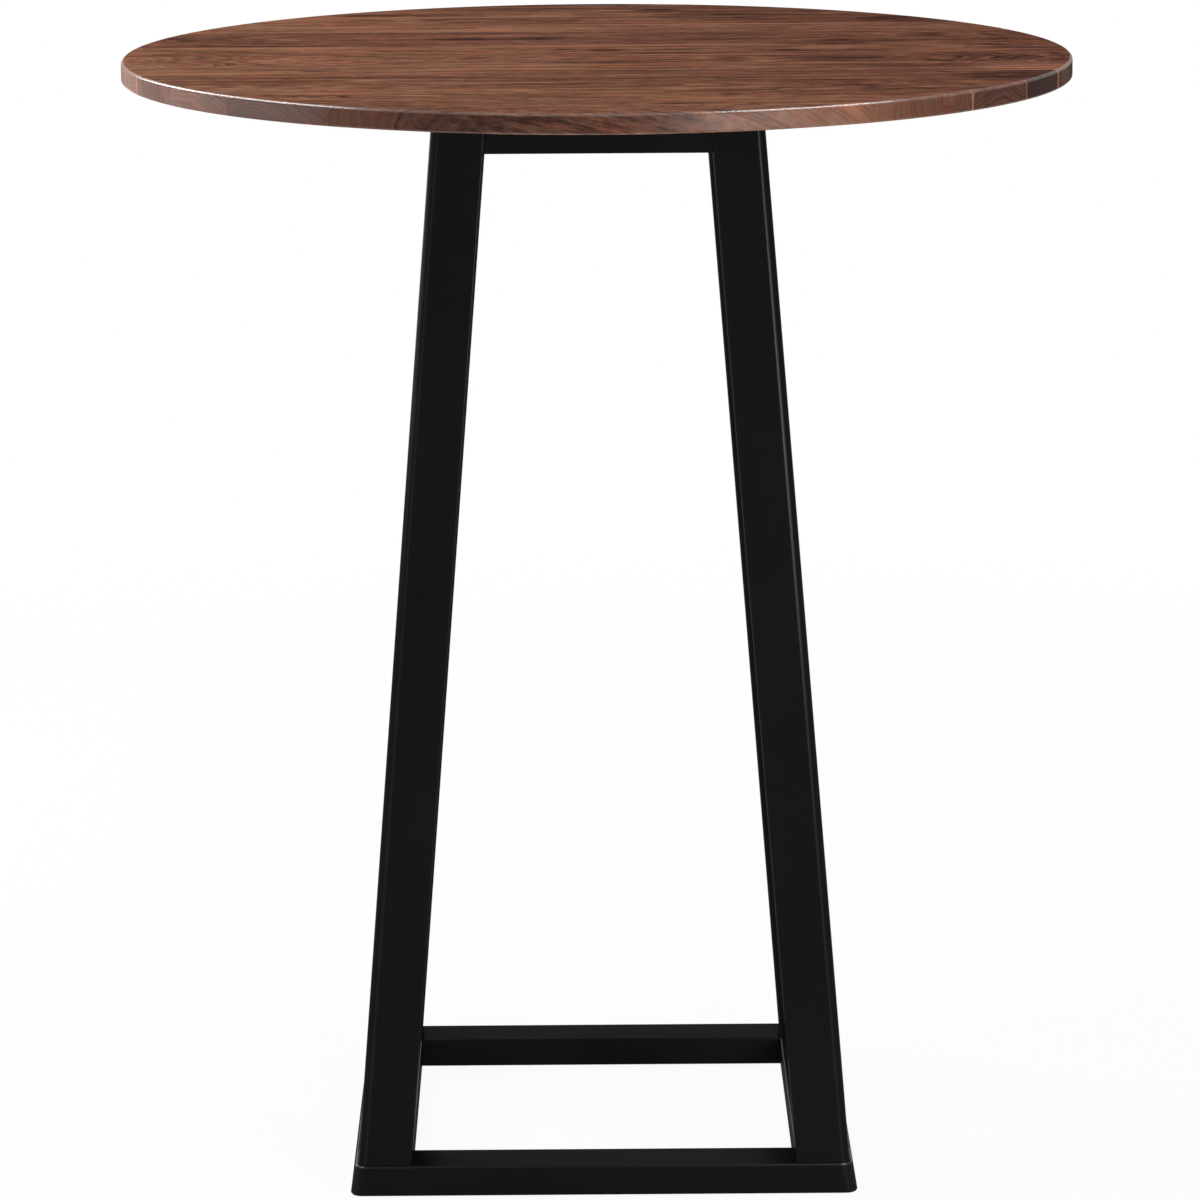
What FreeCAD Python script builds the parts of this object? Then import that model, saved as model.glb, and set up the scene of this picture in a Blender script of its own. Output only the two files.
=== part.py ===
import FreeCAD
import Part
import Sketcher
import math
import os

# Round bar table. Millimetres, Z up, origin on the floor under the middle of the top.
# A solid top of edge-glued staves stands on a timber frame shaped as a truncated pyramid.

# Driving sizes. Each is set by itself; everything else is worked out from them.
SIZES = (
    # Whole table and its round top
    ("table_height", 1067.0),
    ("top_diameter", 910.0),
    ("top_thickness", 19.0),
    ("top_arris", 2.0),
    ("top_under_arris", 1.5),
    # Floor frame of four rails lying flat, measured at the floor; its outer faces lean in toward the top
    ("base_width", 486.0),
    ("floor_rail_width", 58.5),
    ("floor_rail_height", 28.0),
    ("floor_rail_lean", 5.0),
    ("floor_corner_round", 12.0),
    ("side_tenon_length", 16.0),
    ("side_tenon_width", 36.0),
    ("side_tenon_thickness", 10.0),
    ("side_tenon_lift", 4.0),
    # Legs, square in section and leaning inward both ways
    ("leg_width", 51.0),
    ("leg_inset", 2.5),
    ("head_width", 308.0),
    ("foot_tenon_width", 24.0),
    ("foot_tenon_depth", 12.0),
    # Top frame of four rails on edge between the legs
    ("top_rail_height", 56.0),
    ("top_rail_thickness", 28.0),
    ("top_tenon_length", 18.0),
    ("top_tenon_height", 36.0),
    ("top_tenon_thickness", 10.0),
    # Corner blocks across the top frame
    ("block_width", 32.0),
    ("block_thickness", 22.0),
    # Softened corners and edges of the timber frame
    ("leg_corner_round", 9.0),
    ("arris", 1.5),
    # Room for glue round a tenon, and beyond its end
    ("glue_gap", 0.1),
    ("mortise_end_gap", 1.0),
    # Screws up through the floor frame into the feet of the legs
    ("foot_screw_diameter", 6.0),
    ("foot_screw_reach", 45.0),
    ("foot_screw_head_diameter", 12.0),
    ("foot_screw_head_height", 4.0),
    ("foot_screw_socket", 4.0),
    ("foot_screw_socket_depth", 2.5),
    # Bolts, washers and threaded inserts that hold the top
    ("bolt_diameter", 8.0),
    ("bolt_reach", 11.0),
    ("bolt_head_across_flats", 13.0),
    ("bolt_head_height", 5.3),
    ("washer_diameter", 18.0),
    ("washer_thickness", 1.6),
    ("insert_diameter", 12.0),
    ("insert_length", 13.0),
    # Clearance round shanks in their holes, and past the end of a blind hole
    ("shank_gap", 0.05),
    ("bolt_hole_gap", 0.5),
    ("drill_end_gap", 1.0),
    # Glides under the floor frame
    ("glide_diameter", 22.0),
    ("glide_thickness", 1.5),
    ("glide_setback", 75.0),
    # How far every cut runs on past the face that it opens
    ("cut_overrun", 2.0),
)

# Short flats that the softened upper and lower edges of the top are turned as.
UPPER_RIM_FLATS = 2
LOWER_RIM_FLATS = 1

# Seams between the staves of the top, from front to back, as shares of its radius.
STAVE_SEAM_SHARES = (-0.844, -0.673, -0.505, -0.334, -0.174, -0.009, 0.163, 0.407, 0.576, 0.743, 0.890)

# Corners of the frame, each with its turn about the upright axis from the back right corner.
CORNERS = (
    ("back_right", 0),
    ("back_left", 90),
    ("front_left", 180),
    ("front_right", 270),
)

# Sides of the frame, each with its turn about the upright axis from the back.
SIDES = (
    ("back", 0),
    ("left", 90),
    ("front", 180),
    ("right", 270),
)

UP = FreeCAD.Vector(0, 0, 1)
SQUARE_ROOT_OF_TWO = math.sqrt(2)

doc = FreeCAD.newDocument("BarTable")
sheet = doc.addObject("Spreadsheet::Sheet", "Sizes")
for row, (alias, number) in enumerate(SIZES, start=1):
    sheet.set(f"A{row}", alias)
    sheet.set(f"B{row}", str(number))
    sheet.setAlias(f"B{row}", alias)
doc.recompute()

subparts = []


# Heights and half spans, written as expressions over the sheet

FRAME_BOTTOM = "Sizes.glide_thickness"
FRAME_TOP = "(Sizes.glide_thickness + Sizes.floor_rail_height)"
UNDER_TOP = "(Sizes.table_height - Sizes.top_thickness)"
BASE_HALF = "(Sizes.base_width / 2)"
BASE_TOP_HALF = "(Sizes.base_width / 2 - Sizes.floor_rail_lean)"
FOOT_HALF = "(Sizes.base_width / 2 - Sizes.floor_rail_lean - Sizes.leg_inset)"
HEAD_HALF = "(Sizes.head_width / 2)"
FLOOR_RAIL_INNER = "(Sizes.base_width / 2 - Sizes.floor_rail_width)"


def size(name):
    """Number behind an alias of the sheet."""
    return float(sheet.get(name))


def leg_face(height):
    """Distance of the legs' outer faces from the middle at a height."""
    climbed = f"({height} - {FRAME_TOP}) / ({UNDER_TOP} - {FRAME_TOP})"
    return f"({FOOT_HALF} - ({FOOT_HALF} - {HEAD_HALF}) * {climbed})"


def leg_inner_face(height):
    """Distance of the legs' inner faces from the middle at a height."""
    return f"({leg_face(height)} - Sizes.leg_width)"


def rail_inner_face(height):
    """Distance of the top rails' inner faces from the middle at a height."""
    return f"({leg_face(height)} - Sizes.top_rail_thickness)"


FOOT_CENTRE = f"({leg_face(FRAME_TOP)} - Sizes.leg_width / 2)"
BLOCK_BOTTOM = f"({UNDER_TOP} - Sizes.block_thickness)"
TOP_RAIL_BOTTOM = f"({UNDER_TOP} - Sizes.top_rail_height)"
TOP_TENON_LOW = f"({UNDER_TOP} - (Sizes.top_rail_height + Sizes.top_tenon_height) / 2)"
TOP_TENON_HIGH = f"({UNDER_TOP} - (Sizes.top_rail_height - Sizes.top_tenon_height) / 2)"
TOP_TENON_END = f"({leg_inner_face(TOP_TENON_HIGH)} + Sizes.top_tenon_length)"
TENON_FACE_SETBACK = "((Sizes.top_rail_thickness - Sizes.top_tenon_thickness) / 2)"
BLOCK_SLANT = f"(Sizes.block_width * {SQUARE_ROOT_OF_TWO})"
BOLT_CENTRE = f"({leg_inner_face(UNDER_TOP)} - {BLOCK_SLANT} / 4)"


# Sketches and features shared by the sub-parts


def new_body(name):
    """An empty body."""
    return doc.addObject("PartDesign::Body", name)


def origin_plane(body, role):
    """One of the body's own origin planes."""
    return next(feature for feature in body.Origin.OriginFeatures if feature.Role == role)


def new_sketch(body, name, role, offset):
    """An empty sketch parallel to an origin plane, moved along its normal by an expression."""
    sketch = body.newObject("Sketcher::SketchObject", name)
    sketch.AttachmentSupport = [(origin_plane(body, role), "")]
    sketch.MapMode = "FlatFace"
    sketch.setExpression("AttachmentOffset.Base.z", offset)
    return sketch


def bind(sketch, name, constraint, expression):
    """Add a named constraint and bind it to an expression."""
    index = sketch.addConstraint(constraint)
    sketch.renameConstraint(index, name)
    sketch.setExpression(f"Constraints.{name}", expression)


def add_loop(sketch, seeds):
    """Closed loop of straight lines through the seed points."""
    count = len(seeds)
    points = [FreeCAD.Vector(across, along, 0) for across, along in seeds]
    for index in range(count):
        sketch.addGeometry(Part.LineSegment(points[index], points[(index + 1) % count]), False)
    for index in range(count):
        sketch.addConstraint(Sketcher.Constraint("Coincident", index, 2, (index + 1) % count, 1))


def rectangle(body, name, offset, left, right, near, far):
    """Rectangle parallel to the floor whose four sides are placed by expressions."""
    sketch = new_sketch(body, name, "XY_Plane", offset)
    add_loop(sketch, ((-1, -1), (1, -1), (1, 1), (-1, 1)))
    sketch.addConstraint(Sketcher.Constraint("Horizontal", 0))
    sketch.addConstraint(Sketcher.Constraint("Horizontal", 2))
    sketch.addConstraint(Sketcher.Constraint("Vertical", 1))
    sketch.addConstraint(Sketcher.Constraint("Vertical", 3))
    bind(sketch, "left", Sketcher.Constraint("DistanceX", -1, 1, 0, 1, -1), left)
    bind(sketch, "right", Sketcher.Constraint("DistanceX", -1, 1, 1, 1, 1), right)
    bind(sketch, "near", Sketcher.Constraint("DistanceY", -1, 1, 0, 1, -1), near)
    bind(sketch, "far", Sketcher.Constraint("DistanceY", -1, 1, 2, 1, 1), far)
    return sketch


def polygon(body, name, role, offset, corners):
    """Polygon on a plane, with each corner placed by a pair of expressions."""
    sketch = new_sketch(body, name, role, offset)
    count = len(corners)
    turns = [2 * math.pi * index / count for index in range(count)]
    add_loop(sketch, [(math.cos(turn), math.sin(turn)) for turn in turns])
    for index, (across, along) in enumerate(corners):
        seed = (math.cos(turns[index]), math.sin(turns[index]))
        across_constraint = Sketcher.Constraint("DistanceX", -1, 1, index, 1, seed[0])
        along_constraint = Sketcher.Constraint("DistanceY", -1, 1, index, 1, seed[1])
        bind(sketch, f"across{index}", across_constraint, across)
        bind(sketch, f"along{index}", along_constraint, along)
    return sketch


def circles(body, name, role, offset, centres, radius):
    """Equal circles on a plane, with each centre placed by a pair of expressions."""
    sketch = new_sketch(body, name, role, offset)
    for index, (across, along) in enumerate(centres):
        seed = FreeCAD.Vector(index + 1, 1, 0)
        sketch.addGeometry(Part.Circle(seed, UP, 1), False)
        across_constraint = Sketcher.Constraint("DistanceX", -1, 1, index, 3, seed.x)
        along_constraint = Sketcher.Constraint("DistanceY", -1, 1, index, 3, seed.y)
        bind(sketch, f"across{index}", across_constraint, across)
        bind(sketch, f"along{index}", along_constraint, along)
        bind(sketch, f"radius{index}", Sketcher.Constraint("Radius", index, 1), radius)
    return sketch


def pad(body, name, sketch, length, upward=True):
    """Extrude a sketch along its normal, or against it."""
    feature = body.newObject("PartDesign::Pad", name)
    feature.Profile = sketch
    feature.setExpression("Length", length)
    feature.Reversed = not upward
    doc.recompute()
    return feature


def pocket(body, name, sketch, length, along_normal):
    """Cut a sketch's shape into the body, along the sketch's normal or against it."""
    before = body.Shape.Volume
    feature = body.newObject("PartDesign::Pocket", name)
    feature.Profile = sketch
    feature.Reversed = along_normal
    if length is None:
        feature.Type = "ThroughAll"
    else:
        feature.setExpression("Length", length)
    doc.recompute()
    if not body.Shape.Volume < before:
        raise RuntimeError(f"{body.Name}: {name} cuts nothing")
    return feature


def pad_leaning(body, name, sketch, rise):
    """Extrude a level sketch upward in the direction in which the back right leg leans."""
    feature = pad(body, name, sketch, rise)
    feature.UseCustomVector = True
    feature.AlongSketchNormal = True
    feature.setExpression("Direction.x", f"-({FOOT_HALF} - {HEAD_HALF})")
    feature.setExpression("Direction.y", f"-({FOOT_HALF} - {HEAD_HALF})")
    feature.setExpression("Direction.z", f"{UNDER_TOP} - {FRAME_TOP}")
    doc.recompute()
    return feature


def revolve(body, name, sketch):
    """Turn a profile drawn on the XZ plane once round the sketch's upright axis."""
    feature = body.newObject("PartDesign::Revolution", name)
    feature.Profile = sketch
    feature.ReferenceAxis = (sketch, ["V_Axis"])
    feature.Angle = 360
    doc.recompute()
    return feature


def edges_where(body, wanted):
    """Names of the body's edges that pass a test."""
    return [f"Edge{number}" for number, edge in enumerate(body.Shape.Edges, start=1) if wanted(edge)]


def soften(body, name, edges, radius):
    """Round a set of edges to a radius given by an expression."""
    base = body.Tip
    feature = body.newObject("PartDesign::Fillet", name)
    feature.Base = (base, edges)
    feature.setExpression("Radius", radius)
    doc.recompute()
    return feature


def bevel(body, name, edges, width):
    """Cut a set of edges back at 45 degrees by a width given by an expression."""
    base = body.Tip
    feature = body.newObject("PartDesign::Chamfer", name)
    feature.Base = (base, edges)
    feature.setExpression("Size", width)
    doc.recompute()
    return feature


def turn(feature, degrees):
    """Turn a sub-part about the table's upright axis."""
    feature.Placement = FreeCAD.Placement(FreeCAD.Vector(), FreeCAD.Rotation(UP, degrees))


def keep(feature, label):
    """Name a finished sub-part and list it for export."""
    feature.Label = label
    subparts.append(feature)


def keep_group(label, members):
    """Join identical loose pieces into one named sub-part."""
    group = doc.addObject("Part::Compound", f"{label}_group")
    group.Links = members
    keep(group, label)


# Round top


def rim_corners():
    """Outline of the top from its underside round the softened edge to its upper face."""
    radius = "Sizes.top_diameter / 2"
    corners = [("0", UNDER_TOP)]
    for index in range(LOWER_RIM_FLATS + 1):
        turn = math.pi / 2 * index / LOWER_RIM_FLATS
        inward = f"Sizes.top_under_arris * {round(1 - math.sin(turn), 6)}"
        climb = f"Sizes.top_under_arris * {round(1 - math.cos(turn), 6)}"
        corners.append((f"{radius} - {inward}", f"{UNDER_TOP} + {climb}"))
    for index in range(UPPER_RIM_FLATS + 1):
        turn = math.pi / 2 * index / UPPER_RIM_FLATS
        inward = f"Sizes.top_arris * {round(1 - math.cos(turn), 6)}"
        drop = f"Sizes.top_arris * {round(1 - math.sin(turn), 6)}"
        corners.append((f"{radius} - {inward}", f"Sizes.table_height - {drop}"))
    corners.append(("0", "Sizes.table_height"))
    return corners


def make_round_top():
    """The glued-up top after it is cut round, softened and drilled for its inserts."""
    body = new_body("RoundTop")
    revolve(body, "Turned", polygon(body, "Outline", "XZ_Plane", "0", rim_corners()))
    centres = [(f"{x} * {BOLT_CENTRE}", f"{y} * {BOLT_CENTRE}") for x in (-1, 1) for y in (-1, 1)]
    holes = circles(
        body, "InsertHoles", "XY_Plane", UNDER_TOP, centres, "Sizes.insert_diameter / 2 + Sizes.shank_gap"
    )
    pocket(body, "InsertDrilling", holes, "Sizes.insert_length + Sizes.drill_end_gap", True)
    return body


def make_stave(round_top, number, near, far):
    """One stave: the round top between two straight seams."""
    board = doc.addObject("Part::Box", f"Board{number:02d}")
    board.setExpression("Length", "Sizes.top_diameter + 2 * Sizes.cut_overrun")
    board.setExpression("Width", f"{far} - ({near})")
    board.setExpression("Height", "Sizes.top_thickness + 2 * Sizes.cut_overrun")
    board.setExpression("Placement.Base.x", "-Sizes.top_diameter / 2 - Sizes.cut_overrun")
    board.setExpression("Placement.Base.y", near)
    board.setExpression("Placement.Base.z", f"{UNDER_TOP} - Sizes.cut_overrun")
    stave = doc.addObject("Part::Common", f"Stave{number:02d}")
    stave.Base = round_top
    stave.Tool = board
    keep(stave, f"top_stave_{number:02d}")


def make_top():
    """Twelve staves side by side, numbered from the front."""
    round_top = make_round_top()
    seams = [f"{share} * Sizes.top_diameter / 2" for share in STAVE_SEAM_SHARES]
    edge = "(Sizes.top_diameter / 2 + Sizes.cut_overrun)"
    lines = [f"-{edge}"] + seams + [edge]
    for number in range(1, len(lines)):
        make_stave(round_top, number, lines[number - 1], lines[number])


# Floor frame


def floor_rail_section():
    """Corners of a floor rail's section, as (outward, height) pairs."""
    return (
        (FLOOR_RAIL_INNER, FRAME_BOTTOM),
        (BASE_HALF, FRAME_BOTTOM),
        (BASE_TOP_HALF, FRAME_TOP),
        (FLOOR_RAIL_INNER, FRAME_TOP),
    )


def cut_leaning_end(body, end, sign):
    """Cut one end of a through rail to the lean of the frame's outer faces."""
    beyond = f"{sign} * ({BASE_HALF} + Sizes.cut_overrun)"
    waste = polygon(
        body, f"EndOutline{end}", "XZ_Plane", f"-({FLOOR_RAIL_INNER} - Sizes.cut_overrun)", (
            (f"{sign} * {BASE_HALF}", FRAME_BOTTOM),
            (beyond, FRAME_BOTTOM),
            (beyond, FRAME_TOP),
            (f"{sign} * {BASE_TOP_HALF}", FRAME_TOP),
        ),
    )
    pocket(body, f"EndCut{end}", waste, None, False)


def make_through_rail(side, degrees):
    """Front or back floor rail: it runs the full width and carries two legs."""
    body = new_body(f"FloorRail_{side}")
    section = polygon(body, "Section", "YZ_Plane", f"-{BASE_HALF}", floor_rail_section())
    pad(body, "Bar", section, "Sizes.base_width")
    cut_leaning_end(body, "Left", "-1")
    cut_leaning_end(body, "Right", "1")
    middle = size("base_width") / 2 - size("floor_rail_width") / 2
    upright = edges_where(
        body, lambda edge: edge.BoundBox.ZLength > size("arris") and edge.BoundBox.YMin > middle
    )
    soften(body, "OuterCorners", upright, "Sizes.floor_corner_round")
    flat = edges_where(body, lambda edge: edge.BoundBox.ZLength < size("arris"))
    bevel(body, "Arrises", flat, "Sizes.arris")
    for end, sign in (("Left", "-1"), ("Right", "1")):
        cut_leg_mortise(body, end, sign)
        cut_side_rail_mortise(body, end, sign)
        cut_foot_screw_hole(body, end, sign)
    turn(body, degrees)
    keep(body, f"floor_rail_{side}")


def cut_leg_mortise(body, end, sign):
    """Square mortise from above for a leg's foot tenon."""
    half = "(Sizes.foot_tenon_width / 2 + Sizes.glue_gap)"
    centre = f"{sign} * {FOOT_CENTRE}"
    sketch = rectangle(
        body, f"LegMortise{end}", FRAME_TOP,
        f"{centre} - {half}", f"{centre} + {half}", f"{FOOT_CENTRE} - {half}", f"{FOOT_CENTRE} + {half}",
    )
    pocket(body, f"LegMortiseCut{end}", sketch, "Sizes.foot_tenon_depth + Sizes.mortise_end_gap", False)


def cut_side_rail_mortise(body, end, sign):
    """Flat mortise in the inner face for the tenon of a side rail."""
    centre = f"{sign} * ({BASE_HALF} - Sizes.floor_rail_width / 2)"
    half = "(Sizes.side_tenon_width / 2 + Sizes.glue_gap)"
    sketch = rectangle(
        body, f"SideMortise{end}", f"{FRAME_BOTTOM} + Sizes.side_tenon_lift - Sizes.glue_gap",
        f"{centre} - {half}", f"{centre} + {half}", f"{FLOOR_RAIL_INNER} - Sizes.cut_overrun",
        f"{FLOOR_RAIL_INNER} + Sizes.side_tenon_length + Sizes.mortise_end_gap",
    )
    pocket(body, f"SideMortiseCut{end}", sketch, "Sizes.side_tenon_thickness + 2 * Sizes.glue_gap", True)


def cut_foot_screw_hole(body, end, sign):
    """Clearance hole for a foot screw, counterbored from below for its head."""
    centre = (f"{sign} * {FOOT_CENTRE}", FOOT_CENTRE)
    shank = "Sizes.foot_screw_diameter / 2 + Sizes.shank_gap"
    hole = circles(body, f"ScrewHole{end}", "XY_Plane", FRAME_BOTTOM, [centre], shank)
    pocket(body, f"ScrewHoleCut{end}", hole, None, True)
    head = "Sizes.foot_screw_head_diameter / 2 + Sizes.bolt_hole_gap"
    counterbore = circles(body, f"Counterbore{end}", "XY_Plane", FRAME_BOTTOM, [centre], head)
    pocket(body, f"CounterboreCut{end}", counterbore, "Sizes.foot_screw_head_height", True)


def make_side_rail(side, degrees):
    """Left or right floor rail, tenoned at both ends into the rails that run through."""
    body = new_body(f"FloorRail_{side}")
    section = polygon(body, "Section", "XZ_Plane", FLOOR_RAIL_INNER, floor_rail_section())
    pad(body, "Bar", section, f"2 * {FLOOR_RAIL_INNER}", upward=False)
    length = 2 * (size("base_width") / 2 - size("floor_rail_width"))
    long_edges = edges_where(body, lambda edge: edge.BoundBox.YLength > length / 2)
    soften(body, "Arrises", long_edges, "Sizes.arris")
    middle = f"({BASE_HALF} - Sizes.floor_rail_width / 2)"
    reach = f"({FLOOR_RAIL_INNER} + Sizes.side_tenon_length)"
    tenons = rectangle(
        body, "TenonOutline", f"{FRAME_BOTTOM} + Sizes.side_tenon_lift",
        f"{middle} - Sizes.side_tenon_width / 2", f"{middle} + Sizes.side_tenon_width / 2", f"-{reach}", reach,
    )
    pad(body, "Tenons", tenons, "Sizes.side_tenon_thickness")
    turn(body, degrees)
    keep(body, f"floor_rail_{side}")


def make_floor_frame():
    """Two rails that run through and two rails between them."""
    make_through_rail("back", 0)
    make_through_rail("front", 180)
    make_side_rail("right", 0)
    make_side_rail("left", 180)


# Legs


def leaning_section(low, high, outer_setback, thickness):
    """Corners of an upright section whose two faces lean with the legs, as (outward, height) pairs."""
    outer_low = f"({leg_face(low)} - {outer_setback})"
    outer_high = f"({leg_face(high)} - {outer_setback})"
    return (
        (f"{outer_low} - {thickness}", low),
        (outer_low, low),
        (outer_high, high),
        (f"{outer_high} - {thickness}", high),
    )


def cut_rail_mortise(body, name, role, sideways):
    """Leaning mortise for a top rail's tenon, entered from one of the leg's two inner faces."""
    section = leaning_section(
        f"({TOP_TENON_LOW} - Sizes.glue_gap)", f"({TOP_TENON_HIGH} + Sizes.glue_gap)",
        f"({TENON_FACE_SETBACK} - Sizes.glue_gap)", "(Sizes.top_tenon_thickness + 2 * Sizes.glue_gap)",
    )
    mouth = f"({leg_inner_face(TOP_TENON_HIGH)} - Sizes.cut_overrun)"
    outline = polygon(body, f"{name}Outline", role, mouth if sideways else f"-{mouth}", section)
    depth = f"{TOP_TENON_END} + Sizes.mortise_end_gap - {mouth}"
    pocket(body, name, outline, depth, sideways)


def make_leg(corner, degrees):
    """Leaning leg with a foot tenon, two mortises at the head and a pilot hole in the foot."""
    body = new_body(f"Leg_{corner}")
    inner = leg_inner_face(FRAME_TOP)
    outer = leg_face(FRAME_TOP)
    foot = rectangle(body, "Foot", FRAME_TOP, inner, outer, inner, outer)
    pad_leaning(body, "Post", foot, f"{UNDER_TOP} - {FRAME_TOP}")
    half_height = size("table_height") / 2
    foot_half = size("base_width") / 2 - size("floor_rail_lean") - size("leg_inset")
    outermost = foot_half - size("leg_width") / 2
    lean = size("head_width") / 2 - size("leg_width") / 2
    middle = (outermost + lean) / 2
    outer_corner = edges_where(
        body, lambda edge: edge.BoundBox.ZLength > half_height
        and edge.CenterOfMass.x > middle and edge.CenterOfMass.y > middle
    )
    soften(body, "OuterCorner", outer_corner, "Sizes.leg_corner_round")
    other_corners = edges_where(
        body, lambda edge: edge.BoundBox.ZLength > half_height
        and min(edge.CenterOfMass.x, edge.CenterOfMass.y) < middle
    )
    soften(body, "OtherCorners", other_corners, "Sizes.arris")
    low = f"{FOOT_CENTRE} - Sizes.foot_tenon_width / 2"
    high = f"{FOOT_CENTRE} + Sizes.foot_tenon_width / 2"
    tenon = rectangle(body, "FootTenonOutline", FRAME_TOP, low, high, low, high)
    pad(body, "FootTenon", tenon, "Sizes.foot_tenon_depth", upward=False)
    cut_rail_mortise(body, "SidewaysMortise", "YZ_Plane", True)
    cut_rail_mortise(body, "EndwaysMortise", "XZ_Plane", False)
    pilot = circles(
        body, "PilotOutline", "XY_Plane", f"{FRAME_TOP} - Sizes.foot_tenon_depth",
        [(FOOT_CENTRE, FOOT_CENTRE)], "Sizes.foot_screw_diameter / 2 + Sizes.shank_gap",
    )
    depth = "Sizes.foot_tenon_depth + Sizes.foot_screw_reach + Sizes.drill_end_gap"
    pocket(body, "Pilot", pilot, depth, True)
    turn(body, degrees)
    keep(body, f"leg_{corner}")


# Top frame


def cut_shoulder(body, end, sign):
    """Cut one end of a top rail to the slope of the leg that it meets."""
    low = f"({TOP_RAIL_BOTTOM} - Sizes.cut_overrun)"
    high = f"({UNDER_TOP} + Sizes.cut_overrun)"
    beyond = f"{sign} * ({leg_inner_face(low)} + Sizes.cut_overrun)"
    corners = (
        (f"{sign} * {leg_inner_face(low)}", low),
        (beyond, low),
        (beyond, high),
        (f"{sign} * {leg_inner_face(high)}", high),
    )
    outline = polygon(body, f"ShoulderOutline{end}", "XZ_Plane", "0", corners)
    pocket(body, f"Shoulder{end}", outline, None, False)


def make_top_rail(side, degrees):
    """Rail on edge between two legs, leaning with them, tenoned at both ends."""
    body = new_body(f"TopRail_{side}")
    half = leg_inner_face(TOP_RAIL_BOTTOM)
    section = leaning_section(TOP_RAIL_BOTTOM, UNDER_TOP, "0", "Sizes.top_rail_thickness")
    pad(body, "Bar", polygon(body, "Section", "YZ_Plane", f"-{half}", section), f"2 * {half}")
    cut_shoulder(body, "Left", "-1")
    cut_shoulder(body, "Right", "1")
    bottom = size("table_height") - size("top_thickness") - size("top_rail_height")
    under_edges = edges_where(
        body, lambda edge: abs(edge.BoundBox.ZMax - bottom) < size("arris")
        and edge.BoundBox.XLength > size("top_rail_thickness")
    )
    soften(body, "UnderArrises", under_edges, "Sizes.arris")
    section = leaning_section(TOP_TENON_LOW, TOP_TENON_HIGH, TENON_FACE_SETBACK, "Sizes.top_tenon_thickness")
    tenons = polygon(body, "TenonSection", "YZ_Plane", f"-{TOP_TENON_END}", section)
    pad(body, "Tenons", tenons, f"2 * {TOP_TENON_END}")
    turn(body, degrees)
    keep(body, f"top_rail_{side}")


def block_outline(body):
    """Plan of a corner block's underside: a bar across the corner, mitred against both rails."""
    inner = leg_inner_face(BLOCK_BOTTOM)
    rail = rail_inner_face(BLOCK_BOTTOM)
    outer_start = f"(2 * {inner} - {rail})"
    inner_start = f"({outer_start} - {BLOCK_SLANT})"
    corners = ((rail, inner_start), (rail, outer_start), (outer_start, rail), (inner_start, rail))
    return polygon(body, "Outline", "XY_Plane", BLOCK_BOTTOM, corners)


def make_corner_block(corner, degrees):
    """Block glued into a corner of the top frame, with a bolt hole up through it."""
    body = new_body(f"CornerBlock_{corner}")
    pad_leaning(body, "Block", block_outline(body), "Sizes.block_thickness")
    bolt_hole = circles(
        body, "BoltHoleOutline", "XY_Plane", BLOCK_BOTTOM, [(BOLT_CENTRE, BOLT_CENTRE)],
        "Sizes.bolt_diameter / 2 + Sizes.bolt_hole_gap",
    )
    pocket(body, "BoltHole", bolt_hole, None, True)
    turn(body, degrees)
    keep(body, f"corner_block_{corner}")


# Fasteners


def hexagon(across_flats):
    """Corner expressions of a hexagon of a given width across its flats."""
    corners = []
    for index in range(6):
        turn = 2 * math.pi * index / 6
        across_share = round(math.cos(turn) / math.sqrt(3), 6)
        along_share = round(math.sin(turn) / math.sqrt(3), 6)
        corners.append((f"{across_share} * {across_flats}", f"{along_share} * {across_flats}"))
    return corners


def make_foot_screw(name):
    """Cap-headed wood screw that points up from its head, which lies on the origin."""
    body = new_body(name)
    head = circles(body, "HeadOutline", "XY_Plane", "0", [("0", "0")], "Sizes.foot_screw_head_diameter / 2")
    pad(body, "Head", head, "Sizes.foot_screw_head_height")
    shank = circles(body, "ShankOutline", "XY_Plane", "0", [("0", "0")], "Sizes.foot_screw_diameter / 2")
    pad(body, "Shank", shank, "Sizes.floor_rail_height + Sizes.foot_screw_reach")
    socket = polygon(body, "SocketOutline", "XY_Plane", "0", hexagon("Sizes.foot_screw_socket"))
    pocket(body, "Socket", socket, "Sizes.foot_screw_socket_depth", True)
    return body


def make_bolt(name):
    """Hexagon-headed bolt that points up from its head, which lies on the origin."""
    body = new_body(name)
    head = polygon(body, "HeadOutline", "XY_Plane", "0", hexagon("Sizes.bolt_head_across_flats"))
    pad(body, "Head", head, "Sizes.bolt_head_height")
    shank = circles(
        body, "ShankOutline", "XY_Plane", "Sizes.bolt_head_height", [("0", "0")], "Sizes.bolt_diameter / 2"
    )
    pad(body, "Shank", shank, "Sizes.washer_thickness + Sizes.block_thickness + Sizes.bolt_reach")
    return body


def make_washer(name):
    """Flat washer that lies on the origin."""
    body = new_body(name)
    outline = circles(body, "Outline", "XY_Plane", "0", [("0", "0")], "Sizes.washer_diameter / 2")
    pad(body, "Disc", outline, "Sizes.washer_thickness")
    hole = circles(
        body, "Hole", "XY_Plane", "0", [("0", "0")], "Sizes.bolt_diameter / 2 + Sizes.shank_gap"
    )
    pocket(body, "HoleCut", hole, None, True)
    return body


def make_insert(name):
    """Sleeve that takes a bolt, with its mouth on the origin."""
    body = new_body(name)
    outline = circles(body, "Outline", "XY_Plane", "0", [("0", "0")], "Sizes.insert_diameter / 2")
    pad(body, "Sleeve", outline, "Sizes.insert_length")
    bore = circles(
        body, "BoreOutline", "XY_Plane", "0", [("0", "0")], "Sizes.bolt_diameter / 2 + Sizes.shank_gap"
    )
    pocket(body, "Bore", bore, None, True)
    return body


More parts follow.
